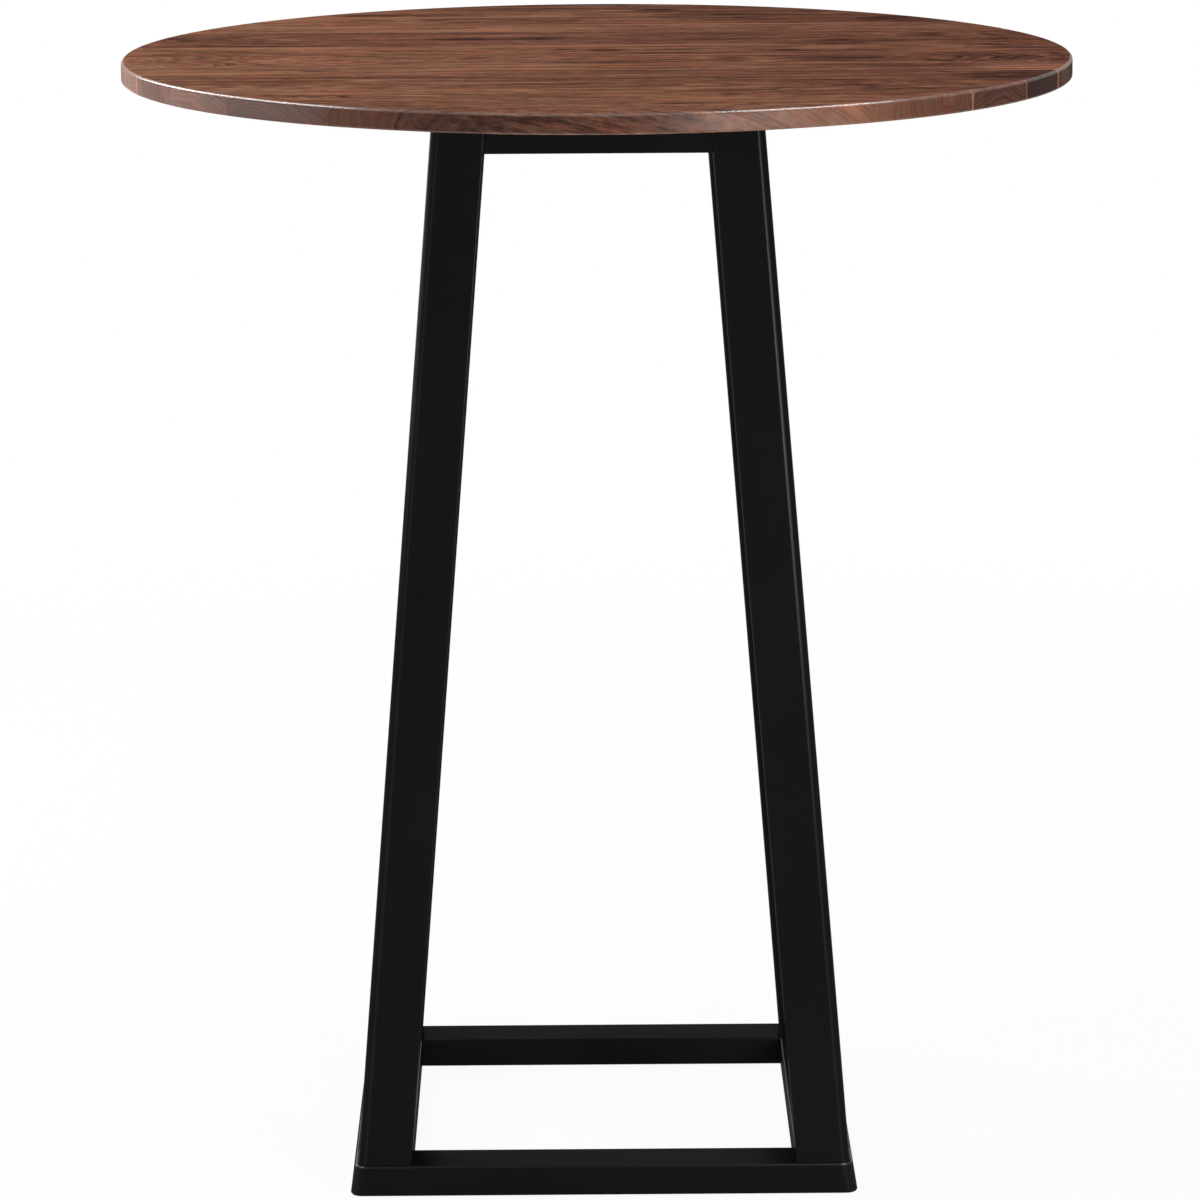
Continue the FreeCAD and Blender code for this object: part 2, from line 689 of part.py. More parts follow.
def make_glide(name):
    """Low round glide that lies on the origin."""
    body = new_body(name)
    outline = circles(body, "Outline", "XY_Plane", "0", [("0", "0")], "Sizes.glide_diameter / 2")
    pad(body, "Disc", outline, "Sizes.glide_thickness")
    return body


def make_four(label, make_one, reach_x, reach_y, height):
    """Four identical pieces, one in each corner of the table, as one sub-part."""
    pieces = []
    for sign_x in (-1, 1):
        for sign_y in (-1, 1):
            piece = make_one(f"{label}_{len(pieces)}")
            piece.setExpression("Placement.Base.x", f"{sign_x} * {reach_x}")
            piece.setExpression("Placement.Base.y", f"{sign_y} * {reach_y}")
            piece.setExpression("Placement.Base.z", height)
            pieces.append(piece)
    keep_group(label, pieces)


def make_fasteners():
    """Every screw, bolt, washer, insert and glide."""
    washer_bottom = f"({BLOCK_BOTTOM} - Sizes.washer_thickness)"
    bolt_bottom = f"({washer_bottom} - Sizes.bolt_head_height)"
    glide_x = f"({BASE_HALF} - Sizes.glide_setback)"
    glide_y = f"({BASE_HALF} - Sizes.floor_rail_width / 2)"
    make_four("top_bolts", make_bolt, BOLT_CENTRE, BOLT_CENTRE, bolt_bottom)
    make_four("top_bolt_washers", make_washer, BOLT_CENTRE, BOLT_CENTRE, washer_bottom)
    make_four("threaded_inserts", make_insert, BOLT_CENTRE, BOLT_CENTRE, UNDER_TOP)
    make_four("leg_foot_screws", make_foot_screw, FOOT_CENTRE, FOOT_CENTRE, FRAME_BOTTOM)
    make_four("floor_glides", make_glide, glide_x, glide_y, "0")


# Build, check and write


def check_document():
    """Stop if any object failed or any sub-part lacks a sound shape."""
    for item in doc.Objects:
        if "Invalid" in item.State or "Error" in item.State:
            raise RuntimeError(f"{item.Name}: {item.State}")
    for item in subparts:
        if item.Shape.isNull() or not item.Shape.isValid() or not item.Shape.Solids:
            raise RuntimeError(f"{item.Label} has no valid solid")


def write_parts():
    """One file for each sub-part."""
    os.makedirs("parts", exist_ok=True)
    for item in subparts:
        item.Shape.exportStep(f"parts/{item.Label}.step")
        print(item.Label, len(item.Shape.Solids), "solid", round(item.Shape.Volume))


make_top()
make_floor_frame()
for corner, degrees in CORNERS:
    make_leg(corner, degrees)
for side, degrees in SIDES:
    make_top_rail(side, degrees)
for corner, degrees in CORNERS:
    make_corner_block(corner, degrees)
make_fasteners()
doc.recompute()
check_document()
write_parts()
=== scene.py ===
import math
from collections import namedtuple

import bmesh
import bpy
from mathutils import Matrix, Vector


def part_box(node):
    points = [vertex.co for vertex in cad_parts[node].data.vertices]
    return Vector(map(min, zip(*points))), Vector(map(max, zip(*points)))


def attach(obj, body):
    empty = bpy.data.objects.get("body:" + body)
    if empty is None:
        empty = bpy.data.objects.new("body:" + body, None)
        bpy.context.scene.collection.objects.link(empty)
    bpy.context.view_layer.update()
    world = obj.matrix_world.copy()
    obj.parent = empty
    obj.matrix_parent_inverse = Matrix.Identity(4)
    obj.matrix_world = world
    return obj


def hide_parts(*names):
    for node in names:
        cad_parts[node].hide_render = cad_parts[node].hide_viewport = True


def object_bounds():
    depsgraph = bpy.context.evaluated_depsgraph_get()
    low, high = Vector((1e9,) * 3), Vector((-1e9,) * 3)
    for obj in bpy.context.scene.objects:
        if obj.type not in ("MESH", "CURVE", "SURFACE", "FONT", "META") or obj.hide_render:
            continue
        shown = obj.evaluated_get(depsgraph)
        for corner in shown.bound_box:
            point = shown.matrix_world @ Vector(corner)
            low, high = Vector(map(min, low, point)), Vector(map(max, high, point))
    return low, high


# Round bar table: a walnut top of twelve staves on a black painted timber frame.
# Metres, Z up, origin on the floor under the middle of the top.

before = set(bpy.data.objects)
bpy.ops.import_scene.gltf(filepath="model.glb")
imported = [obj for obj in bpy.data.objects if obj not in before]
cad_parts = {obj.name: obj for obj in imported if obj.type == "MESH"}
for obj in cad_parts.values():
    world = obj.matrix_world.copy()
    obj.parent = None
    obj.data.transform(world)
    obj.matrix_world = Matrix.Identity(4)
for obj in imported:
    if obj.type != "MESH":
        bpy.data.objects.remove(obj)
cad_low, cad_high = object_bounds()

MM = 0.001

# Top

TOP_RADIUS = (cad_high.x - cad_low.x) / 2
TOP_FACE = cad_high.z
TOP_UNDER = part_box("top_stave_06")[0].z
TOP_CHAMFER = 2.2 * MM
UNDER_CHAMFER = 1.2 * MM
CHAMFER_EASE = 0.8 * MM
CHAMFER_EASE_STEPS = 3
SEAM_EASE = 0.22 * MM
SEAM_EASE_STEPS = 2
RIM_STEPS = 1080
STAVE_COUNT = 12

# Frame timber

PAINT_EASE = 0.8 * MM
PAINT_EASE_STEPS = 2
# An edge that turns more than this is eased.
SHARP_TURN = math.radians(28)
# Faces that turn less than this against each other become one face.
FLAT_TURN = math.radians(0.4)
# An edge that turns more than this is shaded as a sharp one.
SHADED_TURN = math.radians(50)
# Points closer than this count as one.
WELD = 0.002 * MM

LEGS = ("leg_front_left", "leg_front_right", "leg_back_left", "leg_back_right")
RAILS_ALONG_X = ("floor_rail_front", "floor_rail_back", "top_rail_front", "top_rail_back")
RAILS_ALONG_Y = ("floor_rail_left", "floor_rail_right", "top_rail_left", "top_rail_right")
BLOCKS = (
    "corner_block_front_left", "corner_block_front_right",
    "corner_block_back_left", "corner_block_back_right",
)

# How each stave was sawn, from the front stave to the back one. Tone is 0 for the palest wood
# and 1 for the darkest. Darkening is taken off at the top's left end and added at its right end.
# Warmth is the strength of the warm patches, and the cool ones have what it leaves of 1.
# The heart of the log runs beside the stave's middle and below its face, climbs along it and
# bows away on both sides of a centre. Ring is a year's growth, and late is how much darker its
# last wood is. Lengths are in metres, the climb is in radians.
Stave = namedtuple("Stave", "tone darkening warmth beside below climb bow bow_centre ring late")
STAVES = (
    Stave(0.36, -0.09, 0.40, -0.052, 0.046, 0.240, 0.02, 0.10, 0.0036, 0.16),
    Stave(0.38, -0.03, 0.50, 0.021, 0.018, -0.050, 0.06, 0.15, 0.0036, 0.18),
    Stave(0.34, 0.18, 0.50, 0.012, 0.036, 0.050, 0.22, 0.08, 0.0046, 0.20),
    Stave(0.45, 0.10, 0.40, 0.090, 0.060, 0.015, 0.02, 0.00, 0.0034, 0.12),
    Stave(0.36, 0.16, 0.50, -0.070, 0.050, -0.015, 0.03, 0.00, 0.0036, 0.10),
    Stave(0.42, 0.20, 0.55, 0.004, 0.026, 0.000, 0.34, 0.02, 0.0046, 0.26),
    Stave(0.44, 0.14, 0.55, 0.010, 0.032, -0.030, 0.10, -0.15, 0.0042, 0.14),
    Stave(0.50, 0.06, 0.50, 0.016, 0.036, 0.030, 0.12, 0.12, 0.0044, 0.18),
    Stave(0.33, 0.18, 0.35, -0.070, 0.045, 0.020, 0.03, 0.00, 0.0038, 0.10),
    Stave(0.42, 0.22, 0.55, 0.012, 0.034, -0.040, 0.10, -0.10, 0.0042, 0.16),
    Stave(0.44, 0.12, 0.55, -0.016, 0.038, 0.030, 0.08, 0.05, 0.0042, 0.16),
    Stave(0.66, 0.06, 0.40, 0.024, 0.044, 0.030, 0.08, 0.00, 0.0042, 0.14),
)

# Dark and pale marks in the figure of the staves, and painted highlights along their seams, in
# millimetres on the top's face: x, y, half length, half width, and how much darker than the wood
# round it, or how much paler where it is negative.
MARKS_AND_SEAM_HIGHLIGHTS = (
    (80, -385, 36, 4, 0.50), (84, -396, 40, 4, -0.25), (-40, -400, 60, 8, -0.10), (200, -398, 70, 10, -0.18),
    (-168, -316, 26, 6, -0.35), (-50, -326, 30, 11, 0.20), (188, -338, 22, 4, 0.30),
    (90, -350, 60, 10, -0.12),
    (115, -293, 90, 3, 0.45), (230, -254, 30, 6, 0.30), (250, -267, 9, 5, 0.40), (-77, -280, 30, 8, -0.28),
    (300, -285, 60, 9, 0.12), (60, -272, 70, 6, -0.15), (-300, -268, 90, 14, -0.10),
    (-245, -224, 120, 3, 0.35), (-215, -203, 16, 6, -0.55), (-285, -190, 4, 9, 0.45),
    (410, -192, 84, 44, 0.26),
    (325, -158, 10, 4, 0.45), (-120, -170, 100, 5, 0.12), (60, -195, 200, 5, 0.14),
    (-265, -129, 18, 4, 0.45), (212, -104, 4, 6, 0.40), (405, -115, 60, 30, -0.22), (300, -104, 90, 10, 0.12),
    (-330, -140, 110, 6, -0.20), (370, -149, 60, 2, -0.40), (-60, -92, 24, 3, -0.40),
    (-222, -6, 34, 3, 0.55), (330, -40, 150, 40, 0.14), (346, -34, 20, 4, 0.35), (102, -42, 14, 22, -0.18),
    (158, -50, 16, 24, -0.25), (-310, -40, 60, 18, -0.05), (90, -6, 100, 2, -0.45),
    (-322, 52, 7, 5, 0.50), (-376, 44, 40, 6, 0.20), (-205, 32, 13, 3, 0.50), (-150, 32, 34, 3, 0.55),
    (-32, 41, 12, 6, 0.60), (8, 32, 20, 13, 0.45), (77, 35, 24, 4, 0.50), (66, 7, 30, 3, 0.50),
    (182, 25, 34, 5, 0.45), (185, 28, 9, 8, 0.50), (350, 20, 60, 22, -0.12), (-200, 62, 220, 3, -0.30),
    (-110, 132, 76, 8, 0.42), (-235, 133, 12, 5, 0.40), (-52, 128, 10, 5, 0.40), (232, 110, 18, 12, 0.50),
    (262, 120, 26, 5, 0.35), (310, 118, 50, 12, -0.12), (240, 84, 40, 8, 0.25), (10, 145, 30, 4, -0.15),
    (-120, 215, 160, 14, -0.12), (170, 198, 26, 4, 0.25), (180, 218, 18, 3, 0.25), (45, 245, 8, 6, 0.30),
    (-240, 265, 22, 4, 0.40), (-135, 282, 18, 4, 0.55), (-40, 289, 26, 3, 0.45), (120, 292, 20, 3, 0.30),
    (-225, 305, 30, 12, 0.22), (310, 300, 60, 26, 0.28),
    (-175, 340, 10, 5, 0.60), (-230, 345, 50, 3, 0.35), (120, 350, 90, 6, 0.25), (-60, 372, 70, 6, -0.25),
    (64, 392, 22, 11, 0.45), (20, 385, 34, 8, -0.20), (-20, 432, 60, 6, -0.10),
    # Pale lines where the seams meet the rim: painted highlights on the seams.
    (340, -303, 16, 1.3, -0.60), (396, -227, 14, 1.7, -0.60), (432, -149, 12, 2.4, -0.60),
    (-430, -149, 12, 3, -0.12),
    # Long thin lines beside the seams; the pale ones are painted highlights on the seams.
    (-340, 70, 100, 4.0, -0.45), (-340, 80, 100, 4.0, 0.30), (60, 71, 150, 3.6, -0.20),
    (90, -8, 120, 4.0, -0.45), (90, 2, 130, 4.0, 0.35), (315, -81, 130, 3.8, -0.35),
    (-385, -147, 60, 4.0, -0.40), (390, -146, 66, 3.8, -0.45), (390, -156.5, 66, 4.2, 0.65),
    (-155, -224, 215, 3.6, -0.30), (-155, -233, 200, 3.8, 0.30), (-120, 333, 180, 3.8, -0.30),
    (80, 257, 170, 3.8, -0.30), (-100, 188, 300, 3.6, 0.30), (-60, -308, 200, 3.6, 0.25),
    (-250, 259, 90, 3.6, 0.30), (180, 341, 90, 3.6, 0.35),
)
# A mark no wider than this, as a half width in millimetres, has straight edges, and a wider one
# has ragged ends.
THIN_MARK = 4.5
# Where a mark fades in and where it is full, as shares of its half size.
MARK_FADE = (1.15, 0.60)

# The walnut's colour by its darkness, and how its patches change the red, green and blue.
WALNUT_COLOURS = (
    (0.0, (0.335, 0.168, 0.100, 1)), (0.45, (0.172, 0.076, 0.047, 1)), (1.0, (0.036, 0.015, 0.011, 1)),
)
WARM_TINT = (1.16, 0.98, 0.84)
COOL_TINT = (0.84, 0.90, 1.02)
RED_TINT = (1.12, 0.90, 0.86)

# How the sawn rim's tone, partly the wood's own and partly painted shade and sheen, changes from
# left to right, as shares of the top's width and shares of the tone's reach, with 0.5 for no change.
RIM_TONES_AND_PAINTED_LIGHT = (
    (0.00, 0.70), (0.07, 0.62), (0.13, 0.82), (0.20, 0.84), (0.26, 0.72), (0.33, 0.89), (0.41, 1.00),
    (0.50, 0.82), (0.58, 0.78), (0.64, 0.50), (0.76, 0.50), (0.83, 0.74), (0.93, 0.82), (1.00, 1.00),
)
RIM_TONE_AND_LIGHT_REACH = 1.1

# Cloudy noise: the lumps' sizes along the three axes, a number that sets it apart from the other
# noises, how many finer layers it has and how strong each of them is.
Lumps = namedtuple("Lumps", "sizes seed layers strength")

# Noises of the walnut, in metres along the grain, across it and through the stave.
WIDE_BENDS = Lumps((0.26, 0.06, 0.06), 0, 1.5, 0.5)
SMALL_BENDS = Lumps((0.060, 0.016, 0.016), 1, 1.0, 0.5)
UNEVEN_RINGS = Lumps((1, 0.03, 0.03), 2, 0.0, 0.5)
FLAMES = Lumps((0.22, 0.014, 0.014), 4, 5.0, 0.72)
FIBRES = Lumps((0.030, 0.0007, 0.0007), 5, 2.0, 0.5)
VESSELS = Lumps((0.0045, 0.00030, 0.00030), 6, 1.0, 0.5)
TINT_PATCHES = Lumps((0.22, 0.016, 0.016), 7, 4.0, 0.6)
STREAKS = Lumps((0.150, 0.0046, 0.0046), 9, 3.0, 0.62)
RAGGED_ENDS = Lumps((0.030, 0.0016, 0.0016), 10, 2.0, 0.6)
DASHES = Lumps((0.016, 0.0048, 0.0048), 12, 2.0, 0.6)
RED_PATCHES = Lumps((0.050, 0.0060, 0.0060), 13, 2.0, 0.6)
# Noises that follow the growth rings, in metres along the grain and in rings across it.
BANDS = Lumps((0.30, 2.6, 1), 3, 5.0, 0.68)
THIN_LINES = Lumps((0.14, 0.62, 1), 8, 3.0, 0.60)
YEARS = Lumps((1, 1, 1), 11, 2.0, 0.5)
YEARS_PER_RING = 1.1
# What tells the noises of one stave from those of the next, and the way in which a seed moves
# the coordinates of a noise.
STAVE_SEED = 3.7
SEED_WAY = (1, 0.7, 1.3)

# How far the bends carry the grain, in metres along it, across it and through the stave.
WIDE_SWAY = (0, 0.018, 0.020)
SMALL_SWAY = (0, 0.0030, 0.0030)
RAGGED_SWAY = (0.060, 0.004, 0)
# How many rings an uneven patch of the log adds at most.
UNEVEN_COUNT = 3.0

# How much each part of the figure darkens the wood, where a noise swings it to both sides.
BAND_SWING = 1.25
FLAME_SWING = 0.85
STREAK_SWING = 1.45
DASH_SWING = 0.90
FIBRE_SWING = 0.35
PORE_DARKENING = 0.25
DARK_LINE = 0.34
PALE_LINE = -0.20
# Share of the late wood's darkening that is taken back from the whole stave.
LATE_WOOD_BALANCE = 0.35
# Share of the ring figure that the sawn rim loses.
RIM_CALM = 0.5

# Spans of a noise over which a part of the figure grows from nothing to its full strength.
DARK_LINE_SPAN = (0.585, 0.665)
PALE_LINE_SPAN = (0.40, 0.32)
PORE_SPAN = (0.66, 0.74)
WARM_SPAN = (0.42, 0.62)
COOL_SPAN = (0.55, 0.38)
RED_SPAN = (0.45, 0.65)
# Span of the years' noise, and how strong the late wood is at both ends of it.
YEAR_SPAN = (0.35, 0.62)
YEAR_STRENGTHS = (0.25, 1.6)
# Shares of a ring over which its late wood darkens and then stops.
LATE_WOOD_START = (0.15, 0.85)
LATE_WOOD_STOP = (0.85, 1.0)
# How far a face looks along the grain, from no end grain to all of it.
END_GRAIN_SPAN = (0.05, 0.5)
# How flat a face lies, from 0 for upright to 1 for level: where the rim starts, and where the
# relief of the grain does.
RIM_SPAN = (0.75, 0.45)
RELIEF_SPAN = (0.97, 0.999)

# The oil's gloss and roughness by how flat a face lies: the rim, its chamfer, the top's face.
OIL_GLOSS = ((0.00, 0.085), (0.10, 0.085), (0.25, 0.43), (0.93, 0.43), (0.995, 0.022))
OIL_ROUGHNESS = ((0.00, 0.26), (0.10, 0.26), (0.25, 0.22), (0.93, 0.22), (0.995, 0.34))
OIL_INDEX = 2.0
WOOD_ROUGHNESS = 0.50
FIBRE_ROUGHNESS = 0.12
PORE_ROUGHNESS = 0.2
FIBRE_RELIEF_SHARE = 0.35

# Noises of the paint, the metal and the nylon, in metres along X, Y and Z.
UPRIGHT_GRAIN = Lumps((0.0016, 0.0016, 0.12), 5, 3.0, 0.6)
GRAIN_ALONG_X = Lumps((0.12, 0.0016, 0.0016), 5, 3.0, 0.6)
GRAIN_ALONG_Y = Lumps((0.0016, 0.12, 0.0016), 5, 3.0, 0.6)
BRUSH_MARKS = Lumps((0.004, 0.004, 0.004), 9, 2.0, 0.5)
PAINT_CLOUD = Lumps((0.12, 0.12, 0.12), 2, 2.0, 0.5)
METAL_CLOUD = Lumps((0.002, 0.002, 0.002), 4, 3.0, 0.5)
NYLON_SCUFFS = Lumps((0.0015, 0.0015, 0.0015), 6, 3.0, 0.5)

PAINT_COLOURS = ((0.30, (0.0072, 0.0072, 0.0073, 1)), (0.70, (0.0090, 0.0089, 0.0089, 1)))
PAINT_ROUGHNESS = 0.40
GRAIN_ROUGHNESS = 0.10
BRUSH_RELIEF_SHARE = 0.4
# The paint's gloss on a leg by how squarely a face looks along X or Y, and on a rail by how far
# it looks up.
CORNER_GLOSS = ((0.90, 0.05), (0.960, 0.20), (0.982, 0.20), (0.9950, 0.05))
ARRIS_GLOSS = ((0.20, 0.05), (0.45, 0.45), (0.90, 0.45), (0.99, 0.05))
GLOSS_ROUGHNESS = 0.24

ZINC_COLOUR = (0.60, 0.61, 0.62)
ZINC_ROUGHNESS = 0.32
BRASS_COLOUR = (0.72, 0.52, 0.24)
BRASS_ROUGHNESS = 0.30
DULL_METAL_SHARE = 0.72
NYLON_COLOURS = ((0.3, (0.030, 0.030, 0.031, 1)), (0.7, (0.042, 0.042, 0.043, 1)))
NYLON_ROUGHNESS = 0.5
CLOUD_ROUGHNESS = 0.2

# Height of each surface's relief, and how strongly it shows.
WOOD_RELIEF = (0.05 * MM, 0.6)
PAINT_RELIEF = (0.08 * MM, 0.5)
METAL_RELIEF = (0.02 * MM, 0.4)
NYLON_RELIEF = (0.03 * MM, 0.5)


# Nodes of a material


class Recipe:
    """The nodes of one material, added one call at a time."""

    def __init__(self, name):
        self.material = bpy.data.materials.new(name)
        self.material.use_nodes = True
        self.tree = self.material.node_tree
        self.tree.nodes.clear()
        self.shader = self.node("ShaderNodeBsdfPrincipled")
        output = self.node("ShaderNodeOutputMaterial")
        self.tree.links.new(self.shader.outputs["BSDF"], output.inputs["Surface"])
        self.place = self.node("ShaderNodeTexCoord").outputs["Object"]
        split = self.node("ShaderNodeSeparateXYZ")
        self.feed(split.inputs["Vector"], self.place)
        self.across_table = split.outputs["X"]
        self.normal = self.node("ShaderNodeNewGeometry").outputs["Normal"]

    def node(self, kind, **settings):
        """Add a node and set its own properties."""
        made = self.tree.nodes.new(kind)
        for key, value in settings.items():
            setattr(made, key, value)
        return made

    def feed(self, socket, value):
        """Link an output to a socket, or write a plain value on it."""
        if isinstance(value, bpy.types.NodeSocket):
            self.tree.links.new(value, socket)
        else:
            socket.default_value = value

    def set_shader(self, name, value):
        """Set or link one of the shader's own sockets."""
        self.feed(self.shader.inputs[name], value)

    def number(self, operation, *values):
        """One step of arithmetic on numbers."""
        made = self.node("ShaderNodeMath", operation=operation)
        for socket, value in zip(made.inputs, values):
            self.feed(socket, value)
        return made.outputs[0]

    def times(self, value, factor):
        """A number multiplied by another."""
        return self.number("MULTIPLY", value, factor)

    def total(self, *values):
        """Several numbers added up."""
        added = values[0]
        for value in values[1:]:
            added = self.number("ADD", added, value)
        return added

    def vector(self, operation, *values):
        """One step of arithmetic on vectors."""
        made = self.node("ShaderNodeVectorMath", operation=operation)
        for socket, value in zip(made.inputs, values):
            self.feed(socket, value)
        return made.outputs["Value" if operation in ("LENGTH", "DOT_PRODUCT") else "Vector"]

    def in_log(self, location, rotation):
        """Coordinates measured from a point, along turned axes."""
        made = self.node("ShaderNodeMapping", vector_type="TEXTURE")
        self.feed(made.inputs["Vector"], self.place)
        made.inputs["Location"].default_value = location
        made.inputs["Rotation"].default_value = rotation
        return made.outputs["Vector"]

    def noise(self, coordinates, lumps, seed=0):
        """Cloudy noise of the given lumps, set apart by a seed."""
        apart = seed + lumps.seed
        scaled = self.vector("MULTIPLY", coordinates, [1 / size for size in lumps.sizes])
        moved = self.vector("ADD", scaled, [apart * share for share in SEED_WAY])
        made = self.node("ShaderNodeTexNoise")
        self.feed(made.inputs["Vector"], moved)
        made.inputs["Scale"].default_value = 1
        made.inputs["Detail"].default_value = lumps.layers
        made.inputs["Roughness"].default_value = lumps.strength
        return made

    def sway(self, noise, amounts):
        """A noise's colour as a shift to both sides of zero."""
        centred = self.vector("SUBTRACT", noise.outputs["Color"], (0.5, 0.5, 0.5))
        return self.vector("MULTIPLY", centred, amounts)

    def swing(self, noise, amount):
        """A noise as a number to both sides of zero."""
        return self.times(self.number("SUBTRACT", noise.outputs["Fac"], 0.5), amount)

    def spread(self, value, low, high, to_low=0.0, to_high=1.0, smooth=False):
        """Carry a value from one span to another, held at both ends."""
        made = self.node("ShaderNodeMapRange", interpolation_type="SMOOTHSTEP" if smooth else "LINEAR")
        for socket, amount in zip(made.inputs, (value, low, high, to_low, to_high)):
            self.feed(socket, amount)
        return made.outputs["Result"]

    def shade(self, value, stops):
        """A colour for each value, by stops of place and colour."""
        made = self.node("ShaderNodeValToRGB")
        elements = made.color_ramp.elements
        while len(elements) < len(stops):
            elements.new(0.5)
        for element, (place, colour) in zip(elements, stops):
            element.position = place
            element.color = colour
        self.feed(made.inputs["Fac"], value)
        return made.outputs["Color"]

    def steps(self, value, stops):
        """A number for each value, by stops of place and number."""
        return self.shade(value, [(place, (amount, amount, amount, 1)) for place, amount in stops])

    def tint(self, colour, shares):
        """A colour with its red, green and blue each taken by a share."""
        return self.vector("MULTIPLY", colour, shares)

    def mix(self, share, first, second):
        """Blend two colours by a share."""
        made = self.node("ShaderNodeMix", data_type="RGBA")
        self.feed(made.inputs["Factor"], share)
        self.feed(made.inputs["A"], first)
        self.feed(made.inputs["B"], second)
        return made.outputs["Result"]

    def bump(self, height, distance, strength):
        """Relief of a given height under the light."""
        made = self.node("ShaderNodeBump")
        self.feed(made.inputs["Height"], height)
        made.inputs["Distance"].default_value = distance
        made.inputs["Strength"].default_value = strength
        self.set_shader("Normal", made.outputs["Normal"])


# Walnut

# One stave's wood: its row of numbers, its seed, the coordinates along its grain with the wide
# bends only and with all of them, and its count of growth rings.
Wood = namedtuple("Wood", "stave seed wandering warped rings")


def make_walnut(number, near, far):
    """Oiled walnut of one stave, cut from a log of its own."""
    recipe = Recipe(f"walnut_{number:02d}")
    wood = lay_grain(recipe, number, (near + far) / 2)
    fibres = recipe.noise(wood.warped, FIBRES, wood.seed)
    vessels = recipe.noise(wood.warped, VESSELS, wood.seed)
    pores = recipe.spread(vessels.outputs["Fac"], *PORE_SPAN)
    flatness = recipe.number("ABSOLUTE", recipe.vector("DOT_PRODUCT", recipe.normal, (0, 0, 1)))
    rim = recipe.spread(flatness, *RIM_SPAN)
    ring_share = recipe.number("SUBTRACT", 1.0, recipe.times(rim, RIM_CALM))
    darkness = recipe.total(
        wood.stave.tone - LATE_WOOD_BALANCE * wood.stave.late,
        darkening_to_right(recipe, wood.stave.darkening),
        recipe.times(ring_figure(recipe, wood), ring_share),
        side_figure(recipe, wood),
        recipe.swing(fibres, FIBRE_SWING),
        recipe.times(pores, PORE_DARKENING),
        # Tone of the sawn rim, partly the wood's own and partly painted shade and sheen.
        recipe.times(rim_tone_and_painted_light(recipe), rim),
        *stave_marks_and_seam_highlights(recipe, wood, near, far),
    )
    recipe.set_shader("Base Color", walnut_colour(recipe, wood, recipe.spread(darkness, 0.0, 1.0)))
    recipe.set_shader("Roughness", recipe.total(
        WOOD_ROUGHNESS, recipe.swing(fibres, FIBRE_ROUGHNESS), recipe.times(pores, PORE_ROUGHNESS),
    ))
    recipe.set_shader("Specular IOR Level", 0.0)
    recipe.set_shader("Coat Weight", recipe.steps(flatness, OIL_GLOSS))
    recipe.set_shader("Coat Roughness", recipe.steps(flatness, OIL_ROUGHNESS))
    recipe.set_shader("Coat IOR", OIL_INDEX)
    relief = recipe.number("SUBTRACT", recipe.times(fibres.outputs["Fac"], FIBRE_RELIEF_SHARE), pores)
    recipe.bump(recipe.times(relief, recipe.spread(flatness, *RELIEF_SPAN)), *WOOD_RELIEF)
    return recipe.material


def lay_grain(recipe, number, middle):
    """The wood of one stave, with its grain bent and its rings counted from the log's heart."""
    stave = STAVES[number - 1]
    seed = STAVE_SEED * number
    log = recipe.in_log((0, middle + stave.beside, TOP_FACE - stave.below), (0, stave.climb, 0))
    log = recipe.vector("ADD", log, bowed(recipe, stave))
    wide = recipe.noise(log, WIDE_BENDS, seed)
    small = recipe.noise(log, SMALL_BENDS, seed)
    wandering = recipe.vector("ADD", log, recipe.sway(wide, WIDE_SWAY))
    warped = recipe.vector("ADD", wandering, recipe.sway(small, SMALL_SWAY))
    across = recipe.vector("MULTIPLY", warped, (0, 1, 1))
    uneven = recipe.noise(across, UNEVEN_RINGS, seed)
    rings = recipe.total(
        recipe.number("DIVIDE", recipe.vector("LENGTH", across), stave.ring),
        recipe.times(uneven.outputs["Fac"], UNEVEN_COUNT),
    )
    return Wood(stave, seed, wandering, warped, rings)


def bowed(recipe, stave):
    """Shift by which the log's heart drops away on both sides of its centre."""
    away = recipe.number("SUBTRACT", recipe.across_table, stave.bow_centre)
    made = recipe.node("ShaderNodeCombineXYZ")
    recipe.feed(made.inputs["Z"], recipe.times(recipe.times(away, away), stave.bow))
    return made.outputs["Vector"]


def darkening_to_right(recipe, amount):
    """From minus an amount at the top's left end to plus it at the right end."""
    return recipe.spread(recipe.across_table, -TOP_RADIUS, TOP_RADIUS, -amount, amount)


def ring_figure(recipe, wood):
    """Bands and lines that follow the growth rings."""
    along = recipe.vector("MULTIPLY", wood.warped, (1, 0, 0))
    layered = recipe.vector("ADD", along, ring_vector(recipe, wood.rings, 1.0))
    bands = recipe.noise(layered, BANDS, wood.seed)
    lines = recipe.noise(layered, THIN_LINES, wood.seed).outputs["Fac"]
    return recipe.total(
        recipe.swing(bands, BAND_SWING),
        recipe.times(late_wood(recipe, wood), wood.stave.late),
        recipe.spread(lines, *DARK_LINE_SPAN, 0.0, DARK_LINE, smooth=True),
        recipe.spread(lines, *PALE_LINE_SPAN, 0.0, PALE_LINE, smooth=True),
    )


def late_wood(recipe, wood):
    """The dark wood that ends each ring, stronger in some years than in others."""
    phase = recipe.number("FRACT", wood.rings)
    started = recipe.spread(phase, *LATE_WOOD_START, smooth=True)
    not_stopped = recipe.spread(phase, *LATE_WOOD_STOP, 1.0, 0.0)
    years = recipe.noise(ring_vector(recipe, wood.rings, YEARS_PER_RING), YEARS, wood.seed)
    strength = recipe.spread(years.outputs["Fac"], *YEAR_SPAN, *YEAR_STRENGTHS)
    return recipe.times(recipe.times(started, not_stopped), strength)


def ring_vector(recipe, rings, share):
    """The ring count, times a share, as the second axis of a vector."""
    made = recipe.node("ShaderNodeCombineXYZ")
    recipe.feed(made.inputs["Y"], recipe.times(rings, share))
    return made.outputs["Vector"]


